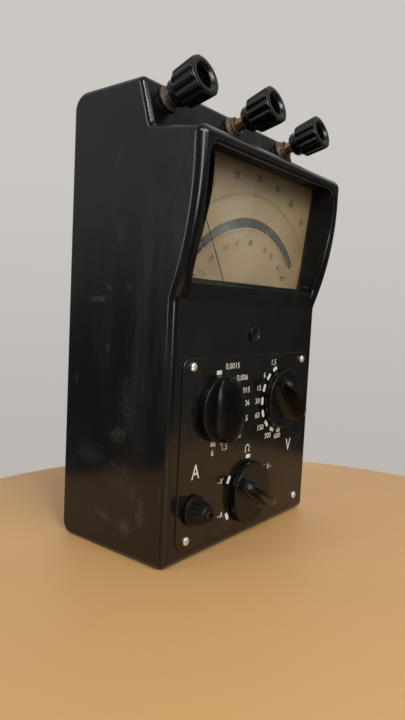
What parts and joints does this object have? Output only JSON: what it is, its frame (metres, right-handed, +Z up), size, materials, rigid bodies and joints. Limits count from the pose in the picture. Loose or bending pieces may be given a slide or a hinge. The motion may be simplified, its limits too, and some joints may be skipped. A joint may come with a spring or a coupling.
{
  "type": "analog multimeter",
  "caption": "Bench multimeter in a moulded case with a tilted dial window, pointer movement, range knobs, an ohm zero knob and screw terminals on its sloping top.",
  "frame": {"origin": "middle of the case's bottom face, midway between the back rim and the lower front panel", "axes": "+X right seen from the front, the front panel faces -Y, +Z up"},
  "size_m": [0.1186, 0.0805, 0.2136],
  "materials": {
    "black_bakelite": "moulded, worn gloss",
    "plate_lacquer": "glossy dark lacquer with printed scales",
    "knob_bakelite": "moulded, handled",
    "dial_paper": "yellowed matt print",
    "window_glass": "clear",
    "aged_nickel": "dulled nickel plate",
    "aged_brass": "aged",
    "dull_steel": "dull",
    "magnet_steel": "dark",
    "phenolic_board": "paper laminate",
    "coil_copper": "enamelled winding",
    "needle_black": "matt black",
    "battery_wrap": "printed sleeve"
  },
  "bodies": {
    "case": {"case_shell": "black_bakelite", "back_cover": "black_bakelite", "battery_lid": "black_bakelite", "glass_frame": "black_bakelite", "front_plate": "plate_lacquer", "dial_sheet": "dial_paper", "window_glass": "window_glass", "cover_screw_1": "aged_nickel", "cover_screw_2": "aged_nickel", "cover_screw_3": "aged_nickel", "cover_screw_4": "aged_nickel", "lid_screw": "aged_nickel", "plate_screw_1": "aged_nickel", "plate_screw_2": "aged_nickel", "plate_screw_3": "aged_nickel", "plate_screw_4": "aged_nickel", "current_nut": "aged_nickel", "voltage_nut": "aged_nickel", "function_nut": "aged_nickel", "ohm_nut": "aged_nickel", "terminal_collar_1": "aged_nickel", "terminal_nut_1": "aged_nickel", "terminal_collar_2": "aged_nickel", "terminal_nut_2": "aged_nickel", "terminal_collar_3": "aged_nickel", "terminal_nut_3": "aged_nickel", "front_bridge": "aged_brass", "current_bush": "aged_brass", "voltage_bush": "aged_brass", "function_bush": "aged_brass", "terminal_stud_1": "aged_brass", "terminal_stud_2": "aged_brass", "terminal_stud_3": "aged_brass", "dial_screw_1": "dull_steel", "dial_screw_2": "dull_steel", "iron_core": "dull_steel", "ohm_pot": "dull_steel", "magnet_cup": "magnet_steel", "battery_tray": "phenolic_board", "current_deck": "phenolic_board", "voltage_deck": "phenolic_board", "function_deck": "phenolic_board", "battery": "battery_wrap"},
    "current_switch": {"current_shaft": "aged_brass", "current_knob": "knob_bakelite"},
    "voltage_switch": {"voltage_shaft": "aged_brass", "voltage_knob": "knob_bakelite"},
    "function_switch": {"function_shaft": "aged_brass", "function_knob": "knob_bakelite"},
    "ohm_zero": {"ohm_shaft": "aged_brass", "ohm_zero_knob": "knob_bakelite"},
    "adjuster": {"zero_adjuster": "black_bakelite"},
    "pointer": {"moving_coil": "coil_copper", "needle": "needle_black"},
    "washer_1": {"terminal_washer_1": "aged_nickel"},
    "cap_1": {"terminal_cap_1": "knob_bakelite"},
    "washer_2": {"terminal_washer_2": "aged_nickel"},
    "cap_2": {"terminal_cap_2": "knob_bakelite"},
    "washer_3": {"terminal_washer_3": "aged_nickel"},
    "cap_3": {"terminal_cap_3": "knob_bakelite"}
  },
  "joints": [
    {"name": "current_turn", "type": "hinge", "parent": "case", "child": "current_switch", "pos_m": [-0.0263, -0.0331, 0.0663], "axis": [0, 1, 0], "range_deg": [0, 186]},
    {"name": "voltage_turn", "type": "hinge", "parent": "case", "child": "voltage_switch", "pos_m": [0.0263, -0.0331, 0.0663], "axis": [0, 1, 0], "range_deg": [-144, 24]},
    {"name": "function_turn", "type": "hinge", "parent": "case", "child": "function_switch", "pos_m": [0, -0.0331, 0.0226], "axis": [0, 1, 0], "range_deg": [-60, 180]},
    {"name": "ohm_zero_turn", "type": "hinge", "parent": "case", "child": "ohm_zero", "pos_m": [-0.0415, -0.0331, 0.023], "axis": [0, 1, 0], "range_deg": [-135, 135]},
    {"name": "adjuster_turn", "type": "hinge", "parent": "case", "child": "adjuster", "pos_m": [0, -0.0331, 0.09963], "axis": [0, 1, 0], "range_deg": [-30, 30]},
    {"name": "pointer_swing", "type": "hinge", "parent": "case", "child": "pointer", "pos_m": [0, -0.0258, 0.10016], "axis": [0, 0.9934, 0.1149], "range_deg": [0, 72], "stiffness_Nm_per_rad": 0.001},
    {"name": "washer_slide_1", "type": "slide", "parent": "case", "child": "washer_1", "axis": [0, -0.9563, 0.2924], "range_m": [0, 0.0024]},
    {"name": "cap_turn_1", "type": "hinge", "parent": "washer_1", "child": "cap_1", "pos_m": [-0.046, -0.01294, 0.19792], "axis": [0, -0.9563, 0.2924], "range_deg": [0, 1080]},
    {"name": "washer_slide_2", "type": "slide", "parent": "case", "child": "washer_2", "axis": [0, -0.9563, 0.2924], "range_m": [-0.0052, 0.0016]},
    {"name": "cap_turn_2", "type": "hinge", "parent": "washer_2", "child": "cap_2", "pos_m": [0, -0.01294, 0.19792], "axis": [0, -0.9563, 0.2924], "range_deg": [-2340, 720]},
    {"name": "washer_slide_3", "type": "slide", "parent": "case", "child": "washer_3", "axis": [0, -0.9563, 0.2924], "range_m": [-0.0044, 0.0016]},
    {"name": "cap_turn_3", "type": "hinge", "parent": "washer_3", "child": "cap_3", "pos_m": [0.046, -0.01294, 0.19792], "axis": [0, -0.9563, 0.2924], "range_deg": [-1980, 720]}
  ],
  "couplings": [
    {"joint": "washer_slide_1", "follows": "cap_turn_1", "m_per_rad": 0.00012732},
    {"joint": "washer_slide_2", "follows": "cap_turn_2", "m_per_rad": 0.00012732},
    {"joint": "washer_slide_3", "follows": "cap_turn_3", "m_per_rad": 0.00012732}
  ]
}
